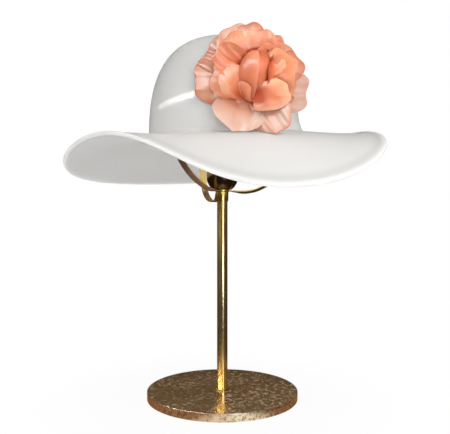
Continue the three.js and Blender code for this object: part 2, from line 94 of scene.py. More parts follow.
# Finishes. A pair of colours is for the two ends of a cloudy finish. The edges are what brass mirrors at a
# glancing angle.
BRASS_EDGE = (0.9, 0.68, 0.38, 1)
PATINA_EDGE = (0.95, 0.76, 0.52, 1)
# Painted shade: the brown that brass takes below a given height, where it lies in shade.
SHADE_BROWN = (0.36, 0.23, 0.12)
PLATE_GROUND = ((0.62, 0.48, 0.34), (0.78, 0.63, 0.46))
PLATE_FLECK = (0.56, 0.38, 0.24)
BAND_GROUND = ((0.74, 0.47, 0.26), (0.88, 0.74, 0.42))
BAND_SPECK = (0.34, 0.19, 0.08)
# Glass: the brim's pair is the glass's own lit colour. The crown's greyer pair is painted shade, taking over
# between two heights in metres.
GLASS_BRIM = ((0.82, 0.815, 0.80), (0.86, 0.855, 0.845))
GLASS_CROWN_SHADE = ((0.74, 0.735, 0.72), (0.80, 0.795, 0.785))
GLASS_CROWN_SHADE_FROM = (0.35, 0.375)
GLASS_LIP = (0.62, 0.615, 0.60)
GLASS_EDGE = (0.97, 0.97, 0.96)
SILK_SHEEN = (1.0, 0.85, 0.8, 1)
SILK_BLEED = (1.0, 0.35, 0.2)
SILK_ROUGHNESS = (0.34, 0.48)

# Base and stem, in millimetres as the frame has them.
GAP = 0.3
BASE_RADIUS = 101.5
BASE_HEIGHT = 11.0
BAND_THICK = 0.9
BAND_BOTTOM = 0.8
BAND_SEAM_AT = 231.0
BAND_SEAM_GAP = 0.6
BAND_STEPS = 240
PLATE_THICK = 1.2
PIPE_CLEAR = 5.3
FOOT_RADIUS = 8.6
FOOT_HEIGHT = 0.8
STEM_RADIUS = 7.1
STEM_WALL = 1.0
COLLAR_RADIUS = 8.3
COLLAR_BOTTOM = 265.9
HUB_BOTTOM = 278.5
HUB_TOP = 281.5
HUB_RADIUS = 9.4
CUP_RADIUS = 21.5
CUP_WALL = 1.0
CUP_CENTRE_Z = 299.3
CUP_TOP = 306.0
CUP_STEPS = 24

# Arms: each strip is bent by hand, so each has its own direction, roll about its length, and side profile of
# (radius, height). The roll comes and goes between shares of the strip's length.
ARM_WIDTH = 9.0
ARM_THICK = 1.8
ARM_TIP = 92.4
ARM_START = (HUB_RADIUS + ARM_THICK / 2, (HUB_BOTTOM + HUB_TOP) / 2)
ARM_END = [(ARM_TIP - 0.6, 345), (ARM_TIP, 351), (ARM_TIP, 357), (ARM_TIP, 363)]
ARMS = {
    "front": (230, 10, [(19, 280.2), (30, 282.4), (43, 287.6), (55, 294), (66, 302), (75, 310.5), (83, 320.5),
                       (89.4, 335)]),
    "rear": (112, 0, [(14, 277), (17, 270.5), (22, 266.8), (33, 266.4), (46, 268.2), (57.5, 273.4),
                      (66.5, 281.6), (73, 296), (79.5, 315), (87.4, 335)]),
    "right": (350, -18, [(18, 279), (29, 278), (39, 279), (48, 281.4), (57, 285.6), (65.5, 291), (74, 300),
                         (82, 314), (88.4, 331)]),
}
ROLL_IN, ROLL_HOLD, ROLL_OUT = 0.16, 0.5, 0.85

# Glass hat. A wave is (size, number of waves round the brim, degrees of its first crest). The lip is a
# slightly greyer zone beside the white rim.
GLASS_THICK = 4.0
RIM_BEAD = 0.6
RIM_BEAD_LENGTH = 3.0
LIP_FADE = (6.0, 12.0)
LIP_SHARE = 0.55
CROWN_RADIUS = 100.5
CROWN_SHIFT = 1.5
CROWN_TOP = 484.5
CROWN_FLATNESS = 2.8
CROWN_FULLNESS = 2.5
FOLD_WIDTH = 11.0
BRIM_START_SLOPE = 0.35
RIM_CENTRE = -7.8
RIM_RADIUS = 197.5
RIM_OVAL = 0.1515
RIM_OVAL_AT = 146.7
RIM_HEIGHT = 319.6
RIM_WAVES = [(8.7, 1, 21.4), (30.1, 2, 22.5), (12.3, 3, 114.1)]
FOLD_HEIGHT = 349.0
FOLD_WAVES = [(5, 1, 0), (2, 2, 0)]
FLARE_HEIGHT = 13.0
FLARE_WAVES = [(12, 1, 0), (4, 2, 0)]
RIM_NOSE = 3.0
HAT_SIDES = 192
CROWN_STEPS = 40
FLARE_STEPS = 12
BRIM_STEPS = 30
RIM_STEPS = 12

# Rose: where its axis leaves the crown, and where its face looks.
FLOWER_AT = 286.5
FLOWER_Z = 402.0
FLOWER_TILT = 12.0
PAD_STAND_OFF = 1.6
FACE_AT = 267.2
FACE_TILT = -13.0
FACE_MIDDLE = (-0.6, 1.8, 16.0)
PETAL_ROWS = 40
PETAL_COLUMNS = 34
PETAL_CLEAR = 1.2
PETAL_ROUND = 0.38
PETAL_WIDEST_AT = 0.62
SILK_THICK = 0.35
CRUMPLE = 4.6
CREASE = 1.6
SCALLOP = 1.1
RAGGED = 6.0
MARGIN_WIDTH = 11.0

# Each open petal: foot and tip as (right, up, out) from the middle of the flower's face, width and the share
# of it at the foot, how far its length bows and its sides rise to the front, roll of its margin, height and
# count of its ruffles, and the share of deep colour on its rim (less than 0: pale colour).
OUTER_PETALS = [
    ((0, -4, -10), (-2, 63, -7), 48, 0.3, 3, 3, -5, 2.2, 3, 1.0),
    ((0, -4, -9), (24, 52, -7), 48, 0.3, 4, 0, -5, 3.0, 3, 0.5),
    ((1, -4, -10), (43, 37, -10), 48, 0.3, 4, 0, -4, 2.6, 3, 0.5),
    ((2, -6, -9), (59, 18, -4), 46, 0.3, 5, 2, -5, 3.0, 3, 1.0),
    ((2, -8, -9), (66, -20, -6), 58, 0.3, 6, -2, -4, 3.2, 3, 0.2),
    ((2, -10, -8), (38, -58, 23), 54, 0.3, 2, 4, -2, 3.0, 3, 0.7),
    ((-6, -10, -7), (-18, -57, 25), 64, 0.3, 0, 2, -2, 2.2, 3, 0.0),
    ((-4, -6, -9), (-66, 1, -4), 58, 0.3, 6, 2, -5, 2.6, 3, 0.9),
    ((-4, -4, -9), (-57, 25, -6), 38, 0.3, 5, 3, -5, 2.4, 3, 1.0),
    ((-3, -3, -10), (-42, 45, -8), 46, 0.3, 5, 0, -4, 2.6, 3, 0.2),
    ((0, -14, -9), (8, -50, 8), 44, 0.3, 0, 2, -3, 2.4, 3, 0.0),
    ((-6, -12, -4), (-43, -23, 3), 36, 0.3, 4, 2, -3, 2.6, 3, -0.2),
    ((-2, -4, -9), (-25, 58, -4), 48, 0.3, 5, 3, -6, 2.0, 3, 0.3),
]
MIDDLE_PETALS = [
    ((0, 2, -7), (6, 55, 3), 58, 0.4, 4, -3, -4, 2.6, 3, 0.1),
    ((-2, 0, -4), (-26, 49, 0), 46, 0.3, 6, 0, -4, 2.8, 3, 0.1),
    ((-4, 2, -2), (-38, 36, 8), 42, 0.3, 6, 5, 3, 2.4, 3, 0.5),
    ((-6, -8, 0), (-44, 8, 8), 48, 0.4, 9, -4, -5, 2.2, 2, -0.3),
    ((4, -10, -3), (51, -12, 2), 42, 0.3, 6, 0, -4, 3.0, 3, 0.1),
    ((6, 0, 0), (50, 16, 8), 50, 0.3, 8, 0, -5, 3.2, 4, -0.3),
]
INNER_PETALS = [
    ((2, -20, 15), (45, -17, 18), 37, 0.8, 6, 3, -3, 1.8, 3, -1.0),
    ((-5, -18, 2), (-32, 9, 14), 38, 0.6, 10, -4, -4, 1.2, 2, -0.5),
    ((-2, -2, -4), (-18, 32, 3), 36, 0.3, 2, 4, 2, 1.8, 3, 0.4),
    ((4, 0, -3), (34, 32, 4), 44, 0.4, 2, 3, 2, 2.2, 3, 0.2),
    ((10, 0, 2), (41, 12, 13), 28, 0.4, 7, -3, -3, 2.2, 3, -0.7),
    ((-2, -6, -4), (-7, -32, 1), 34, 0.7, 1, 0, 0, 1.0, 3, 0.8),
]

# The bud is an egg on a leaning axis, widest at its waist. Each of its petals: middle and half spread in
# degrees round the axis from the front to the right, distance off the egg, how far up it reaches, how far up
# it still narrows with the egg, and the share of deep colour on its rim (less than 0: pale colour).
BUD_FOOT = (1, -24, -4)
BUD_TOP = (9, 30, 21)
BUD_RADIUS = 19.5
BUD_WAIST = 0.5
BUD_BASE_SHARE = 0.5
BUD_PETALS = [
    (0, 180, -2.4, 1.0, 1.0, 0.6),
    (80, 120, -1.4, 1.0, 1.0, 0.8),
    (-90, 98, 1.2, 1.0, 1.0, -0.5),
    (152, 112, 2.8, 0.97, 0.84, 1.0),
    (-72, 34, 4.2, 0.38, 1.0, -0.5),
    (-30, 24, 3.2, 0.50, 1.0, -0.8),
]


# ---------------------------------------------------------------- small helpers

def mix(a, b, t):
    return a + (b - a) * t


def smooth(t):
    t = min(max(t, 0.0), 1.0)
    return t * t * (3 - 2 * t)


def polar(radius, degrees, z=0.0):
    angle = math.radians(degrees)
    return Vector((radius * math.cos(angle), radius * math.sin(angle), z))


def mesh_object(name, points, faces, material, body, attributes=None):
    """A smooth-shaded mesh from points in millimetres, which rides on a body."""
    mesh = bpy.data.meshes.new(name)
    mesh.from_pydata([Vector(p) * MM for p in points], [], faces)
    mesh.validate()
    mesh.polygons.foreach_set("use_smooth", [True] * len(mesh.polygons))
    for key, values in (attributes or {}).items():
        mesh.attributes.new(key, "FLOAT", "POINT").data.foreach_set("value", values)
    mesh.materials.append(material)
    piece = bpy.data.objects.new(name, mesh)
    bpy.context.scene.collection.objects.link(piece)
    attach(piece, body)
    return piece


def wrap_faces(rows, columns, closed_rows):
    """Quads between rows of equally many points, each row closed on itself."""
    faces = []
    for i in range(rows if closed_rows else rows - 1):
        below, above = i * columns, (i + 1) % rows * columns
        for j in range(columns):
            k = (j + 1) % columns
            faces.append((below + j, below + k, above + k, above + j))
    return faces


def rounded(outline, radius, steps=4):
    """A closed outline with each corner cut back by up to radius and rounded."""
    made = []
    count = len(outline)
    for i, corner in enumerate(outline):
        here = Vector(corner)
        before, after = Vector(outline[i - 1]), Vector(outline[(i + 1) % count])
        reach = min(radius, (before - here).length * 0.45, (after - here).length * 0.45)
        start = here + (before - here).normalized() * reach
        end = here + (after - here).normalized() * reach
        for k in range(steps + 1):
            t = k / steps
            made.append((1 - t) ** 2 * start + 2 * t * (1 - t) * here + t * t * end)
    return made


def turned(name, outline, material, body, sides=128):
    """A closed outline of (radius, height) turned about the stem's axis."""
    points = []
    for i in range(sides):
        points += [polar(p[0], 360 * i / sides, p[1]) for p in outline]
    faces = [tuple(reversed(f)) for f in wrap_faces(sides, len(outline), True)]
    return mesh_object(name, points, faces, material, body)


def ring_outline(inner, outer, bottom, top):
    return [(inner, bottom), (outer, bottom), (outer, top), (inner, top)]


# ---------------------------------------------------------------- materials

class Nodes:
    """A node tree with short ways to add to it."""

    def __init__(self, tree):
        self.tree = tree
        self.coordinates = self.node("ShaderNodeTexCoord")

    def node(self, kind, **sockets):
        made = self.tree.nodes.new(kind)
        for key, value in sockets.items():
            made.inputs[key.replace("_", " ")].default_value = value
        return made

    def link(self, source, target):
        self.tree.links.new(source, target)

    def noise(self, scale, detail=4.0, roughness=0.55, stretch=(1, 1, 1), distortion=0.0):
        mapping = self.node("ShaderNodeMapping", Scale=stretch)
        self.link(self.coordinates.outputs["Object"], mapping.inputs["Vector"])
        made = self.node("ShaderNodeTexNoise", Scale=scale, Detail=detail, Roughness=roughness,
                         Distortion=distortion)
        self.link(mapping.outputs["Vector"], made.inputs["Vector"])
        return made.outputs["Fac"]

    def ramp(self, factor, stops):
        made = self.node("ShaderNodeValToRGB")
        elements = made.color_ramp.elements
        for i, (place, colour) in enumerate(stops):
            element = elements[i] if i < 2 else elements.new(place)
            element.position = place
            element.color = (*colour, 1)
        self.link(factor, made.inputs["Fac"])
        return made.outputs["Color"]

    def span(self, factor, low, high, start=0.3, end=0.7, curve="LINEAR"):
        made = self.node("ShaderNodeMapRange")
        made.interpolation_type = curve
        for key, value in (("From Min", start), ("From Max", end), ("To Min", low), ("To Max", high)):
            made.inputs[key].default_value = value
        self.link(factor, made.inputs["Value"])
        return made.outputs["Result"]

    def blend(self, factor, a, b, mode="MIX"):
        made = self.tree.nodes.new("ShaderNodeMix")
        made.data_type = "RGBA"
        made.blend_type = mode
        for value, socket in ((factor, made.inputs[0]), (a, made.inputs[6]), (b, made.inputs[7])):
            if isinstance(value, bpy.types.NodeSocket):
                self.link(value, socket)
            elif isinstance(value, tuple):
                socket.default_value = (*value, 1)
            else:
                socket.default_value = value
        return made.outputs[2]

    def maths(self, operation, value, other=0.0):
        made = self.node("ShaderNodeMath")
        made.operation = operation
        made.inputs[1].default_value = other
        self.link(value, made.inputs[0])
        return made.outputs[0]

    def coordinate(self, axis, space="Object"):
        split = self.node("ShaderNodeSeparateXYZ")
        self.link(self.coordinates.outputs[space], split.inputs[0])
        return split.outputs[axis]

    def attribute(self, name):
        made = self.node("ShaderNodeAttribute")
        made.attribute_name = name
        return made.outputs["Fac"]


class Shader(Nodes):
    """A Principled material with short ways to add procedural detail."""

    def __init__(self, name, **sockets):
        self.material = bpy.data.materials.new(name)
        self.material.use_nodes = True
        super().__init__(self.material.node_tree)
        self.bsdf = self.tree.nodes["Principled BSDF"]
        for key, value in sockets.items():
            self.bsdf.inputs[key.replace("_", " ")].default_value = value

    def cloudy(self, factor, colours, low=0.3, high=0.7):
        """A colour that runs from the first of a pair to the second."""
        return self.ramp(factor, [(low, colours[0]), (high, colours[1])])

    def bump(self, height, strength, distance=0.001):
        made = self.node("ShaderNodeBump", Strength=strength, Distance=distance)
        self.link(height, made.inputs["Height"])
        self.link(made.outputs["Normal"], self.bsdf.inputs["Normal"])

    def colour(self, socket):
        self.link(socket, self.bsdf.inputs["Base Color"])

    def roughness(self, socket):
        self.link(socket, self.bsdf.inputs["Roughness"])


def brass(name, light, dark, rough, patina_scale=55.0, shaded_below=None):
    """Lacquered brass with cloudy tarnish and fine rub marks along it, with painted brown shade below a pair
    of heights.
    """
    made = Shader(name, Metallic=1.0, Specular_Tint=BRASS_EDGE)
    clouds = made.noise(patina_scale, 5, 0.6, (1, 1, 0.35))
    body = made.cloudy(clouds, (dark, light), 0.35, 0.62)
    if shaded_below:
        # painted brown shade below the given heights
        body = made.blend(made.span(made.coordinate("Z"), 1.0, 0.0, *shaded_below), body, SHADE_BROWN)
    made.colour(body)
    marks = made.noise(900, 2, 0.5, (1, 1, 0.06))
    made.roughness(made.span(clouds, rough + 0.09, rough))
    made.bump(marks, 0.004, 0.0003)
    return made.material


def plain(name, light, dark, rough, scale=120.0, metallic=0.0, bump=0.15):
    """A moulded, cast, pressed or plated finish with some cloudiness and grain."""
    made = Shader(name, Metallic=metallic)
    grain = made.noise(scale, 5, 0.6)
    made.colour(made.cloudy(grain, (dark, light)))
    made.roughness(made.span(grain, rough - 0.06, rough + 0.06))
    made.bump(made.noise(scale * 6, 3), bump, 0.0005)
    return made.material


def patina_top():
    """Old brass plate: a brown mirror with matt golden flecks of tarnish, thicker in some places."""
    made = Shader("patina_top", Specular_Tint=PATINA_EDGE)
    clouds = made.noise(14, 4, 0.6)
    flecks = made.noise(170, 3, 0.62, (1, 1, 1), 0.5)
    spread = made.noise(20, 2, 0.5)
    bright = made.ramp(flecks, [(0.51, (0, 0, 0)), (0.60, WHITE)])
    where = made.ramp(spread, [(0.42, (0.3, 0.3, 0.3)), (0.62, WHITE)])
    share = made.blend(1.0, bright, where, "MULTIPLY")
    made.colour(made.blend(share, made.cloudy(clouds, PLATE_GROUND), PLATE_FLECK))
    made.link(made.span(share, 1.0, 0.35, 0.0, 1.0), made.bsdf.inputs["Metallic"])
    made.roughness(made.span(flecks, 0.14, 0.3))
    made.bump(flecks, 0.008, 0.0003)
    return made.material


def patina_band():
    """Brass strip round the base, rubbed bright in places and speckled with tarnish."""
    made = Shader("patina_band", Metallic=1.0, Specular_Tint=PATINA_EDGE)
    clouds = made.noise(12, 3, 0.5)
    specks = made.noise(260, 3, 0.6)
    ground = made.cloudy(clouds, BAND_GROUND, 0.36, 0.6)
    made.colour(made.blend(made.span(specks, 0.0, 0.85, 0.48, 0.6), ground, BAND_SPECK))
    made.roughness(made.span(specks, 0.22, 0.42))
    made.bump(specks, 0.1, 0.0003)
    return made.material


def frosted_glass():
    """White frosted glass with a faint smooth skin, painted greyer in the crown as shade, and whiter along
    its polished rim.
    """
    made = Shader("frosted_glass", Roughness=0.6, IOR=1.3, Transmission_Weight=0.5, Specular_IOR_Level=0.1,
                  Coat_Weight=0.3, Coat_IOR=1.4, Coat_Roughness=0.09)
    haze = made.noise(9, 3, 0.5)
    brim, crown = made.cloudy(haze, GLASS_BRIM), made.cloudy(haze, GLASS_CROWN_SHADE)
    # painted shade: the crown is greyer than the brim above these heights
    body = made.blend(made.span(made.coordinate("Z"), 0.0, 1.0, *GLASS_CROWN_SHADE_FROM), brim, crown)
    body = made.blend(made.attribute("lip"), body, GLASS_LIP)
    made.colour(made.blend(made.attribute("edge"), body, GLASS_EDGE))
    made.bump(made.noise(1400, 2), 0.04, 0.0003)
    return made.material


def silk(name, throat_shade, middle, tip, rim, pale):
    """Stiffened satin: painted shade deeper in the throat, paler outwards, a deeper rim, cloudy dye with
    patches of painted sheen, and a fine weave.
    """
    made = Shader(name, Sheen_Weight=0.05, Sheen_Roughness=0.4, Sheen_Tint=SILK_SHEEN, Subsurface_Weight=0.5,
                  Subsurface_Scale=0.0005, Subsurface_Radius=SILK_BLEED, Specular_IOR_Level=0.6)
    along = made.attribute("along")
    body = made.cloudy(along, (middle, tip), 0.6, 0.92)
    mottle = made.noise(46, 3, 0.55)
    body = made.blend(made.span(mottle, 0.0, 0.6, 0.42, 0.62), body, middle)
    # painted sheen: pale patches where the satin would catch the light
    sheen_patches = made.noise(30, 2, 0.5, (1, 1, 1), 0.6)
    body = made.blend(made.span(sheen_patches, 0.0, 0.6, 0.54, 0.68), body, pale)
    # painted shade: deeper colour towards each petal's foot
    body = made.blend(made.span(along, 1.0, 0.0, 0.26, 0.58), body, throat_shade)
    margin = made.attribute("margin")
    body = made.blend(made.span(margin, 0.0, 1.0, 0.0, 1.0), body, rim)
    made.colour(made.blend(made.span(margin, 0.0, 1.0, 0.0, -1.0), body, pale))
    made.roughness(made.span(mottle, *SILK_ROUGHNESS))
    made.bump(made.noise(300, 3, 0.6), 0.15, 0.0005)
    return made.material


# Brass: the light and dark colours, roughness, scale of its clouds, and the heights between which its painted
# brown shade gives way to brass.
# Silk: the throat (painted shade), middle, tip, rim and pale colours; the pale one also gives its painted
# sheen.
MATERIALS = {
    "brass": brass("brass", (0.94, 0.74, 0.18), (0.80, 0.58, 0.13), 0.18),
    # Painted reflection: the stem's brass is a paler copy, for the whiter light that the stem mirrors lower
    # down.
    "stem_brass_pale_reflection": brass("stem_brass_pale_reflection", (0.91, 0.74, 0.28), (0.78, 0.58, 0.21), 0.18),
    # The arms are one brass: arm_front is a browner copy painted with shade, arm_right a brighter copy
    # painted lit, and arm_rear takes painted brown shade low down.
    "arm_front": brass("arm_front", (0.90, 0.66, 0.40), (0.74, 0.52, 0.30), 0.42),
    "arm_rear": brass("arm_rear", (0.90, 0.70, 0.24), (0.80, 0.58, 0.18), 0.22, 55, (0.280, 0.294)),
    "arm_right": brass("arm_right", (0.92, 0.74, 0.26), (0.84, 0.64, 0.2), 0.16),
    # Painted shade: the socket cup's brass is darkened, as it sits in shade under the hat.
    "cup_brass_shaded": brass("cup_brass_shaded", (0.27, 0.18, 0.08), (0.17, 0.11, 0.05), 0.16, 40),
    "steel": plain("steel", (0.56, 0.57, 0.58), (0.40, 0.40, 0.41), 0.38, 300, 1.0, 0.1),
    "iron": plain("iron", (0.20, 0.19, 0.18), (0.12, 0.11, 0.105), 0.72, 200, 0.6, 0.5),
    "felt": plain("felt", (0.16, 0.13, 0.10), (0.09, 0.075, 0.06), 0.95, 900, 0.0, 0.8),
    "sleeve": plain("sleeve", (0.86, 0.85, 0.81), (0.78, 0.77, 0.72), 0.5, 80, 0.0, 0.05),
    "phenolic": plain("phenolic", (0.06, 0.048, 0.042), (0.04, 0.032, 0.028), 0.38, 60, 0.0, 0.08),
    "ceramic": plain("ceramic", (0.90, 0.88, 0.83), (0.84, 0.82, 0.77), 0.25, 40, 0.0, 0.03),
    "opal": plain("opal", (0.95, 0.94, 0.91), (0.92, 0.91, 0.88), 0.3, 30, 0.0, 0.02),
    "patina_top": patina_top(),
    "patina_band": patina_band(),
    "frosted_glass": frosted_glass(),
    "silk_outer": silk("silk_outer", (0.62, 0.15, 0.045), (0.64, 0.35, 0.245), (0.64, 0.45, 0.365),
                       (0.58, 0.20, 0.10), (0.78, 0.68, 0.60)),
    "silk_upper": silk("silk_upper", (0.62, 0.15, 0.045), (0.65, 0.26, 0.14), (0.66, 0.33, 0.22),
                       (0.58, 0.18, 0.08), (0.78, 0.52, 0.41)),
    "silk_middle": silk("silk_middle", (0.60, 0.125, 0.035), (0.71, 0.22, 0.09), (0.72, 0.27, 0.13),
                        (0.62, 0.17, 0.065), (0.82, 0.41, 0.26)),
    "silk_inner": silk("silk_inner", (0.58, 0.09, 0.02), (0.78, 0.24, 0.09), (0.82, 0.31, 0.155),
                       (0.66, 0.16, 0.055), (0.89, 0.45, 0.28)),
    "silk_bud": silk("silk_bud", (0.50, 0.075, 0.018), (0.71, 0.185, 0.07), (0.73, 0.215, 0.09),
                     (0.48, 0.08, 0.024), (0.84, 0.35, 0.20)),
}


# ---------------------------------------------------------------- base and stem

def make_base():
    plate_radius = BASE_RADIUS - BAND_THICK - 0.1
    outline = ring_outline(PIPE_CLEAR, plate_radius, BASE_HEIGHT - PLATE_THICK, BASE_HEIGHT)
    plate = turned("base_top_plate", rounded(outline, 0.35), MATERIALS["patina_top"], STAND, 192)
    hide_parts("base_plate")
    section = rounded(ring_outline(BASE_RADIUS - BAND_THICK, BASE_RADIUS, BAND_BOTTOM, BASE_HEIGHT), 0.45)
    half = math.degrees(BAND_SEAM_GAP / 2 / BASE_RADIUS)
    points = []
    for i in range(BAND_STEPS + 1):
        at = BAND_SEAM_AT + half + (360 - 2 * half) * i / BAND_STEPS
        points += [polar(p[0], at, p[1]) for p in section]
    count = len(section)
    faces = [tuple(reversed(f)) for f in wrap_faces(BAND_STEPS + 1, count, False)]
    faces += [tuple(range(count)), tuple(reversed(range(BAND_STEPS * count, (BAND_STEPS + 1) * count)))]
    band = mesh_object("base_edge_strip", points, faces, MATERIALS["patina_band"], STAND)
    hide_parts("base_edge_band")


def make_stem():
    foot = BASE_HEIGHT + GAP
    tube = foot + FOOT_HEIGHT + GAP
    pieces = [
        ("stem_foot_ring", "foot_ring", "brass", 0.35, (PIPE_CLEAR, FOOT_RADIUS, foot, foot + FOOT_HEIGHT)),
        ("stem_outer_tube", "stem_tube", "stem_brass_pale_reflection", 0.25,
         (STEM_RADIUS - STEM_WALL, STEM_RADIUS, tube, COLLAR_BOTTOM - 0.1)),
        ("stem_collar", "collar", "brass", 0.7, (PIPE_CLEAR, COLLAR_RADIUS, COLLAR_BOTTOM, HUB_BOTTOM - 0.1)),
        ("arm_ring", "arm_hub", "brass", 0.6, (PIPE_CLEAR, HUB_RADIUS, HUB_BOTTOM, HUB_TOP)),
    ]
    for name, node, finish, radius, sides in pieces:
        piece = turned(name, rounded(ring_outline(*sides), radius), MATERIALS[finish], STAND, 96)
        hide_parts(node)


# ---------------------------------------------------------------- arms

def spline(points, per_span=10):
    """A smooth curve through points, as (place, direction) pairs."""
    path = [Vector(p) for p in points]
    path = [2 * path[0] - path[1], *path, 2 * path[-1] - path[-2]]
    made = []
    for a, b, c, d in zip(path, path[1:], path[2:], path[3:]):
        for k in range(per_span):
            t = k / per_span
            place = 0.5 * (2 * b + (c - a) * t + (2 * a - 5 * b + 4 * c - d) * t * t
                           + (3 * b - 3 * c + d - a) * t ** 3)
            slope = 0.5 * ((c - a) + 2 * (2 * a - 5 * b + 4 * c - d) * t
                           + 3 * (3 * b - 3 * c + d - a) * t * t)
            made.append((place, slope.normalized()))
    made.append((path[-2], (path[-2] - path[-3]).normalized()))
    return made


def make_arms():
    half_thick, half_width = ARM_THICK / 2, ARM_WIDTH / 2
    section = rounded([(-half_thick, -half_width), (half_thick, -half_width), (half_thick, half_width),
                       (-half_thick, half_width)], 0.55, 3)
    count = len(section)
    for name, (at, roll, profile) in ARMS.items():
        out, side = polar(1, at), polar(1, at + 90)
        line = spline([ARM_START, *profile, *ARM_END])
        points = []
        for i, (place, along) in enumerate(line):
            share = i / (len(line) - 1)
            held = smooth(share / ROLL_IN) * (1 - smooth((share - ROLL_HOLD) / (ROLL_OUT - ROLL_HOLD)))
            turn = math.radians(roll) * held
            across = out * -along.y + Vector((0, 0, along.x))
            centre = out * place.x + Vector((0, 0, place.y))
            thick_way = across * math.cos(turn) - side * math.sin(turn)
            wide_way = side * math.cos(turn) + across * math.sin(turn)
            points += [centre + thick_way * thick + wide_way * wide for thick, wide in section]
        faces = wrap_faces(len(line), count, False)
        faces += [tuple(reversed(range(count))), tuple(range((len(line) - 1) * count, len(line) * count))]
        arm = mesh_object(f"strip_arm_{name}", points, faces, MATERIALS[f"arm_{name}"], STAND)
        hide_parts(f"arm_{name}")


def make_cup():
    bottom = HUB_TOP + GAP

    def arc(radius, floor):
        start = math.asin((CUP_CENTRE_Z - floor) / radius)
        angles = [start * (1 - i / CUP_STEPS) for i in range(CUP_STEPS + 1)]
        return [(radius * math.cos(a), CUP_CENTRE_Z - radius * math.sin(a)) for a in angles]

    inner = CUP_RADIUS - CUP_WALL
    outline = [(PIPE_CLEAR, bottom), *arc(CUP_RADIUS, bottom), (CUP_RADIUS, CUP_TOP - 0.3),
               (CUP_RADIUS - 0.3, CUP_TOP), (inner + 0.2, CUP_TOP), (inner, CUP_TOP - 0.3),
               *reversed(arc(inner, bottom + CUP_WALL)), (PIPE_CLEAR, bottom + CUP_WALL)]
    piece = turned("socket_bowl", outline, MATERIALS["cup_brass_shaded"], STAND, 128)
    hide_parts("socket_cup")


# ---------------------------------------------------------------- glass hat

def wavy(mean, waves, degrees):
    return mean + sum(size * math.cos(math.radians(count * (degrees - at))) for size, count, at in waves)


def rim_point(degrees):
    radius = RIM_RADIUS * (1 + RIM_OVAL * math.cos(math.radians(2 * (degrees - RIM_OVAL_AT))))
    place = polar(radius, degrees, wavy(RIM_HEIGHT, RIM_WAVES, degrees))
    return place + Vector((RIM_CENTRE, 0, 0))


def crown_bottom(degrees):
    return wavy(FOLD_HEIGHT, FOLD_WAVES, degrees) + wavy(FLARE_HEIGHT, FLARE_WAVES, degrees)


def bezier(a, b, c, steps, first=0):
    a, b, c = Vector(a), Vector(b), Vector(c)
    times = [k / steps for k in range(first, steps + 1)]
    return [(1 - t) ** 2 * a + 2 * t * (1 - t) * b + t * t * c for t in times]


def hat_outline(degrees):
    """Outer face of the hat in one upright plane, from the crown's top to where the rim starts to round."""
    rim = rim_point(degrees)
    reach = math.hypot(rim.x - CROWN_SHIFT, rim.y)
    fold = wavy(FOLD_HEIGHT, FOLD_WAVES, degrees)
    wall_bottom = crown_bottom(degrees)
    slope = BRIM_START_SLOPE * (rim.z - fold) / (reach - CROWN_RADIUS)
    crown = []
    for k in range(CROWN_STEPS):
        angle = math.sin(k / CROWN_STEPS * math.pi / 2) * math.pi / 2
        rise = math.cos(angle) ** (2 / CROWN_FULLNESS)
        crown.append(Vector((CROWN_RADIUS * math.sin(angle) ** (2 / CROWN_FLATNESS),
                             wall_bottom + (CROWN_TOP - wall_bottom) * rise)))
    end = Vector((CROWN_RADIUS + FOLD_WIDTH, fold + slope * FOLD_WIDTH))
    half = (reach - end.x) / 2
    middle = Vector((end.x + half, end.y + slope * half))
    tip = Vector((reach, rim.z))
    out = (tip - middle).normalized()
    flare = bezier((CROWN_RADIUS, wall_bottom), (CROWN_RADIUS + 3, fold + 1), end, FLARE_STEPS)
    brim = bezier(end, middle, tip - out * RIM_NOSE, BRIM_STEPS, 1)
    return crown + flare + brim


def hat_section(degrees):
    """Closed section of the glass: outer face, rolled rim, inner face. Each point comes with its share of the
    white rim and its share of the greyer lip."""
    outer = hat_outline(degrees)
    last = len(outer) - 1
    out = (outer[last] - outer[last - 1]).normalized()
    up = Vector((-out.y, out.x))
    made, inner = [], []
    for i, point in enumerate(outer):
        along = (outer[min(i + 1, last)] - outer[max(i - 1, 0)]).normalized() if i else Vector((1, 0))
        normal = Vector((-along.y, along.x))
        left = (outer[last] - point).length
        edge = smooth(1 - left / RIM_BEAD_LENGTH)
        swell = RIM_BEAD * edge
        lip = smooth(left / RIM_BEAD_LENGTH - 1) * (1 - smooth((left - LIP_FADE[0]) / LIP_FADE[1]))
        made.append((point + normal * swell, edge, LIP_SHARE * lip))
        inner.append((point - normal * (GLASS_THICK + swell), edge, 0.0))
    centre = outer[last] - up * GLASS_THICK / 2
    nose = GLASS_THICK / 2 + RIM_BEAD
    for k in range(1, RIM_STEPS):
        angle = math.pi * k / RIM_STEPS
        round_point = centre + up * nose * math.cos(angle) + out * RIM_NOSE * math.sin(angle)
        made.append((round_point, 1.0, 0.0))
    return made + inner[::-1]


def hat_place(degrees, point):
    """A point (distance, height) of a section, where the section meets the rim at this angle."""
    rim = rim_point(degrees)
    facing = math.degrees(math.atan2(rim.y, rim.x - CROWN_SHIFT))
    return polar(point.x, facing, point.y) + Vector((CROWN_SHIFT, 0, 0))


def hat_faces(count):
    """Quads between the hat's upright sections, each an open row of count points."""
    faces = []
    for i in range(HAT_SIDES):
        here, there = i * count, (i + 1) % HAT_SIDES * count
        faces += [(here + k, here + k + 1, there + k + 1, there + k) for k in range(count - 1)]
    return faces


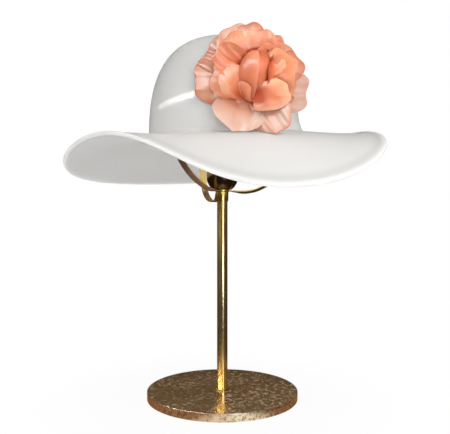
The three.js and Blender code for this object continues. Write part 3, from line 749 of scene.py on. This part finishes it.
def make_hat():
    points, edges, lips = [], [], []
    for i in range(HAT_SIDES):
        degrees = 360 * i / HAT_SIDES
        section = hat_section(degrees)
        points += [hat_place(degrees, place) for place, _, _ in section]
        edges += [edge for _, edge, _ in section]
        lips += [lip for _, _, lip in section]
    hat = mesh_object("glass_hat", points, hat_faces(len(section)), MATERIALS["frosted_glass"], SHADE,
                      {"edge": edges, "lip": lips})
    merge_close(hat.data)
    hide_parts("hat_shade")


def hat_skin():
    """The hat's outer face as a search tree in millimetres, for keeping petals clear of it."""
    points = []
    for i in range(HAT_SIDES):
        degrees = 360 * i / HAT_SIDES
        outline = hat_outline(degrees)[1:]
        points += [hat_place(degrees, point) for point in outline]
    return BVHTree.FromPolygons(points, hat_faces(len(outline)))


def merge_close(mesh, distance=1e-6):
    work = bmesh.new()
    work.from_mesh(mesh)
    bmesh.ops.remove_doubles(work, verts=work.verts, dist=distance)
    bmesh.ops.recalc_face_normals(work, faces=work.faces)
    work.to_mesh(mesh)
    work.free()


# ---------------------------------------------------------------- silk rose

def rose_frame():
    """Where the rose sits on the crown, and its own right, up and outward directions."""
    bottom = crown_bottom(FLOWER_AT)
    rise = (FLOWER_Z - bottom) / (CROWN_TOP - bottom)
    wall = CROWN_RADIUS * (1 - rise ** CROWN_FULLNESS) ** (1 / CROWN_FLATNESS)
    origin = polar(wall + PAD_STAND_OFF, FLOWER_AT, FLOWER_Z) + Vector((CROWN_SHIFT, 0, 0))
    tilt = math.radians(FLOWER_TILT)
    out = polar(math.cos(tilt), FLOWER_AT, math.sin(tilt))
    right = Vector((0, 0, 1)).cross(out).normalized()
    return origin, right, out.cross(right), out


def face_frame():
    """Middle of the rose's face, and the face's own right, up and outward directions."""
    origin, right, up, out = rose_frame()
    middle = origin + right * FACE_MIDDLE[0] + up * FACE_MIDDLE[1] + out * FACE_MIDDLE[2]
    tilt = math.radians(FACE_TILT)
    out = polar(math.cos(tilt), FACE_AT, math.sin(tilt))
    right = Vector((0, 0, 1)).cross(out).normalized()
    return middle, right, out.cross(right), out


def open_petal(petal, seed, fuss):
    """Rows of (place, margin share) of an open petal in the face's frame. fuss is its share of ruffles: none
    gives the smooth cloth."""
    foot, tip, width, foot_share, bow, cup, roll, ruffle, waves, _ = petal
    foot, tip = Vector(foot), Vector(tip)
    chord = tip - foot
    side = Vector((-chord.y, chord.x, 0)).normalized()
    front = chord.cross(side).normalized()
    rough = fuss * ruffle / 3
    rows = []
    for i in range(PETAL_ROWS + 1):
        row = []
        for j in range(PETAL_COLUMNS + 1):
            s = 2 * j / PETAL_COLUMNS - 1
            ragged = RAGGED * noise.noise(Vector((s * 1.3, seed * 5.1, 0)))
            ragged += SCALLOP * math.sin(s * (2 + waves) + seed * 1.7)
            reach = 1 - PETAL_ROUND * abs(s) ** 4 + rough * ragged / chord.length
            v = i / PETAL_ROWS * reach
            half = width / 2 * mix(foot_share, 1, math.sin(math.pi / 2 * min(v / PETAL_WIDEST_AT, 1)) ** 0.9)
            margin = (abs(s) ** 4 + v ** 4) ** 0.25
            around = math.atan2(s * width / 2, (v - 0.35) * chord.length)
            lift = bow * 4 * v * (1 - v) + cup * s * s * smooth(v * 2)
            lift += roll * smooth((margin - 0.6) / 0.5) ** 2
            lift += fuss * ruffle * smooth((margin - 0.4) / 0.6) * math.sin(waves * around + seed * 2.4)
            lift += rough * CRUMPLE * noise.noise(Vector((s * 1.5, v * 2.2, seed * 7.3))) * smooth(v * 2.5)
            fold = 1 - 2 * abs(noise.noise(Vector((s * 3.2, v * 0.9, seed * 3.1))))
            lift += rough * CREASE * fold * smooth(v * 3)
            drift = rough * RAGGED * noise.noise(Vector((seed * 4.7, v * 2.0, s * 0.6))) * margin
            place = foot + chord * v + side * (half * s + drift) + front * lift
            edge = min(half * (1 - abs(s)), chord.length * reach * (1 - i / PETAL_ROWS))
            row.append((place, smooth(1 - edge / MARGIN_WIDTH)))
        rows.append(row)
    return rows


def bud_petal(petal, seed, fuss):
    """Rows of (place, margin share) of a petal that wraps the bud, in the face's frame."""
    at, spread, off, top, close, _ = petal
    foot, axis = Vector(BUD_FOOT), Vector(BUD_TOP) - Vector(BUD_FOOT)
    along = axis.normalized()
    front = (Vector((0, 0, 1)) - along * along.z).normalized()
    right = along.cross(front)
    rows = []
    for i in range(PETAL_ROWS + 1):
        row = []
        for j in range(PETAL_COLUMNS + 1):
            s = 2 * j / PETAL_COLUMNS - 1
            v = (0.03 + (top - 0.03) * i / PETAL_ROWS) * (1 - (0.2 if top < 1 else 0) * abs(s) ** 3)
            angle = math.radians(at + spread * s)
            if v < BUD_WAIST:
                radius = BUD_RADIUS * mix(BUD_BASE_SHARE, 1, math.sin(math.pi / 2 * v / BUD_WAIST))
            else:
                radius = BUD_RADIUS * math.sqrt(1 - ((min(v, close) - BUD_WAIST) / (1 - BUD_WAIST)) ** 2)
            radius += off * smooth(v * 5) * (smooth((1 - v) * 8) if close == 1 else 1)
            radius += smooth((abs(s) - 0.85) / 0.15) * smooth(v * 3) * smooth((1 - v) * 6)
            radius += fuss * 0.9 * noise.noise(Vector((math.cos(angle), math.sin(angle), v * 2 + seed * 3.7)))
            place = foot + axis * v + (front * math.cos(angle) + right * math.sin(angle)) * radius
            edge = min(radius * math.radians(spread) * (1 - abs(s)), axis.length * top * (1 - i / PETAL_ROWS))
            row.append((place, smooth(1 - edge / MARGIN_WIDTH)))
        rows.append(row)
    return rows


def cloth_size(rows):
    """Widest row, length of the middle column and area of a grid of places, as if it were pressed flat."""
    rows = [[place for place, margin in row] for row in rows]
    middle = [row[len(row) // 2] for row in rows]
    widths = [sum((a - b).length for a, b in zip(row, row[1:])) for row in rows]
    length = sum((a - b).length for a, b in zip(middle, middle[1:]))
    area = 0.0
    for below, above in zip(rows, rows[1:]):
        for a, b, c, d in zip(below, below[1:], above[1:], above):
            area += (c - a).cross(d - b).length / 2
    return max(widths), length, area


def make_petal(name, shape, petal, seed, material, node, skin):
    """One petal as a thin sheet, kept clear of the glass."""
    middle, right, up, out = face_frame()
    width, length, area = cloth_size(shape(petal, seed, 0))
    points, along, margins = [], [], []
    rows = shape(petal, seed, 1)
    for i, row in enumerate(rows):
        for place, margin in row:
            point = middle + right * place.x + up * place.y + out * place.z
            near, normal, _, _ = skin.find_nearest(point)
            if (point - near).dot(normal) < PETAL_CLEAR:
                point = near + normal * PETAL_CLEAR
            points.append(point)
            along.append(i / PETAL_ROWS)
            margins.append(margin * petal[-1])
    columns = PETAL_COLUMNS + 1
    faces = []
    for i in range(PETAL_ROWS):
        for j in range(PETAL_COLUMNS):
            k = i * columns + j
            faces.append((k, k + columns, k + columns + 1, k + 1))
    piece = mesh_object(name, points, faces, material, SHADE, {"along": along, "margin": margins})
    thick = piece.modifiers.new("thickness", "SOLIDIFY")
    thick.thickness = SILK_THICK * MM
    thick.offset = 0
    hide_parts(node)


def make_rose():
    skin = hat_skin()
    rings = [("outer", open_petal, OUTER_PETALS, "silk_pale", "petals_outer"),
             ("middle", open_petal, MIDDLE_PETALS, "silk", "petals_middle"),
             ("inner", open_petal, INNER_PETALS, "silk", "petals_inner"),
             ("bud", bud_petal, BUD_PETALS, "silk_deep", "flower_bud")]
    for ring, shape, petals, slot, node in rings:
        for k, petal in enumerate(petals):
            seed = k + 1 + len(ring)
            upper = ring == "outer" and petal[1][1] > 0
            silk_finish = MATERIALS["silk_upper" if upper else f"silk_{ring}"]
            make_petal(f"petal_{ring}_{k + 1}", shape, petal, seed, silk_finish, node, skin)


# ---------------------------------------------------------------- everything kept from the frame

CAD_FINISHES = {
    "base_felt": "felt", "base_weight": "iron", "cord_bushing": "phenolic", "base_washer": "steel",
    "base_nut": "steel", "stem_pipe": "steel", "cup_nut": "steel", "arm_pad_front": "sleeve",
    "arm_pad_rear": "sleeve", "arm_pad_right": "sleeve", "lampholder_base": "phenolic",
    "lampholder_insulator": "ceramic", "lampholder_sleeve": "phenolic", "lampholder_liner": "brass",
    "lampholder_contact": "brass", "bulb_insulator": "phenolic", "bulb_cap": "steel", "bulb_glass": "opal",
    "flower_pad": "sleeve", "flower_back": "felt", "flower_stem": "felt",
}


def finish_cad_nodes():
    for node, finish in CAD_FINISHES.items():
        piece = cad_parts[node]
        piece.data.materials.clear()
        piece.data.materials.append(MATERIALS[finish])


# ---------------------------------------------------------------- light, floor and camera

def area_light(name, place, target, size, power, colour, only, along=None):
    """A rectangular light at a place, facing a target, its first side along a given direction or level. Only
    one kind of ray sees it, diffuse or glossy."""
    data = bpy.data.lights.new(name, "AREA")
    data.shape = "RECTANGLE"
    data.size, data.size_y = size
    data.energy = power
    data.color = colour
    light = bpy.data.objects.new(name, data)
    back = (Vector(place) - Vector(target)).normalized()
    side = Vector(along) if along else Vector((0, 0, 1)).cross(back)
    side = (side - back * side.dot(back)).normalized()
    facing = Matrix((side, back.cross(side), back)).transposed()
    light.matrix_world = Matrix.Translation(place) @ facing.to_4x4()
    light.visible_glossy = only == "glossy"
    light.visible_diffuse = only == "diffuse"
    bpy.context.scene.collection.objects.link(light)


def make_world():
    """White behind the lamp, soft grey light all round, and a dim room for glossy things to mirror."""
    world = bpy.data.worlds.new("studio")
    bpy.context.scene.world = world
    world.use_nodes = True
    made = Nodes(world.node_tree)
    share = made.span(made.coordinate("Z", "Generated"), 0.0, 1.0, -1.0, 1.0)
    sky, room = [made.ramp(share, [((height + 1) / 2, colour) for height, colour in stops])
                 for stops in (SKY, ROOM)]
    rays = made.node("ShaderNodeLightPath").outputs
    mirrored = made.blend(rays["Is Transmission Ray"], room, sky)
    lit = made.blend(rays["Is Glossy Ray"], sky, mirrored)
    seen = made.blend(rays["Is Camera Ray"], lit, WHITE)
    made.link(seen, made.tree.nodes["Background"].inputs["Color"])


def make_floor():
    """A pale floor that fades to white away from the base, and the dim one that metal mirrors instead."""
    mesh = bpy.data.meshes.new("floor")
    corners = [polar(FLOOR_RADIUS, 360 * i / FLOOR_SIDES) for i in range(FLOOR_SIDES)]
    mesh.from_pydata(corners, [], [tuple(range(FLOOR_SIDES))])
    floor = bpy.data.objects.new("floor", mesh)
    bpy.context.scene.collection.objects.link(floor)
    made = Shader("pale_floor", Base_Color=FLOOR_COLOUR, Roughness=0.9)

    def layered(share, below, above):
        layer = made.node("ShaderNodeMixShader")
        for source, socket in zip((share, below, above), layer.inputs):
            made.link(source, socket)
        return layer.outputs[0]

    length = made.node("ShaderNodeVectorMath")
    length.operation = "LENGTH"
    made.link(made.coordinates.outputs["Object"], length.inputs[0])
    away = length.outputs["Value"]
    white = made.node("ShaderNodeEmission")
    fade = made.span(away, *FLOOR_WHITE, *FLOOR_FADE, "SMOOTHSTEP")
    pale = layered(fade, made.bsdf.outputs[0], white.outputs[0])
    aside = made.maths("ABSOLUTE", made.maths("SUBTRACT", made.coordinate("X"), GLEAM_AT))
    near = made.blend(made.span(aside, 0.0, 1.0, *GLEAM_WIDTH, "SMOOTHSTEP"), GLEAM_COLOUR, MIRRORED_COLOUR)
    dim = made.node("ShaderNodeEmission")
    made.link(made.blend(made.span(away, 0.0, 1.0, *MIRRORED_FADE), near, MIRRORED_FAR), dim.inputs["Color"])
    rays = made.node("ShaderNodeLightPath").outputs
    surface = layered(rays["Is Glossy Ray"], pale, dim.outputs[0])
    made.link(surface, made.tree.nodes["Material Output"].inputs["Surface"])
    mesh.materials.append(made.material)


def make_lights():
    for name, light in LIGHTS.items():
        area_light(name, *light)
    for k, power in enumerate(CORNICE_POWERS):
        start, end = [Vector((*corner, CORNICE_HEIGHT)) for corner in CORNICE[k:k + 2]]
        length = (end - start).length
        middle = (start + end) / 2
        area_light(f"strip_{k + 1}", middle, CORNICE_FACES, (length, CORNICE_WIDTH), power * length, WHITE,
                   "glossy", end - start)


def make_camera():
    data = bpy.data.cameras.new("camera")
    data.lens, data.sensor_width = LENS, SENSOR
    data.shift_x, data.shift_y = SHIFT
    camera = bpy.data.objects.new("camera", data)
    camera.location = (0, -EYE_DISTANCE, EYE_HEIGHT)
    camera.rotation_euler = (math.pi / 2, 0, 0)
    bpy.context.scene.collection.objects.link(camera)
    bpy.context.scene.camera = camera
    bpy.context.scene.view_settings.view_transform = "Standard"


make_camera()
make_world()
make_floor()
make_lights()
make_base()
make_stem()
make_arms()
make_cup()
make_hat()
make_rose()
finish_cad_nodes()
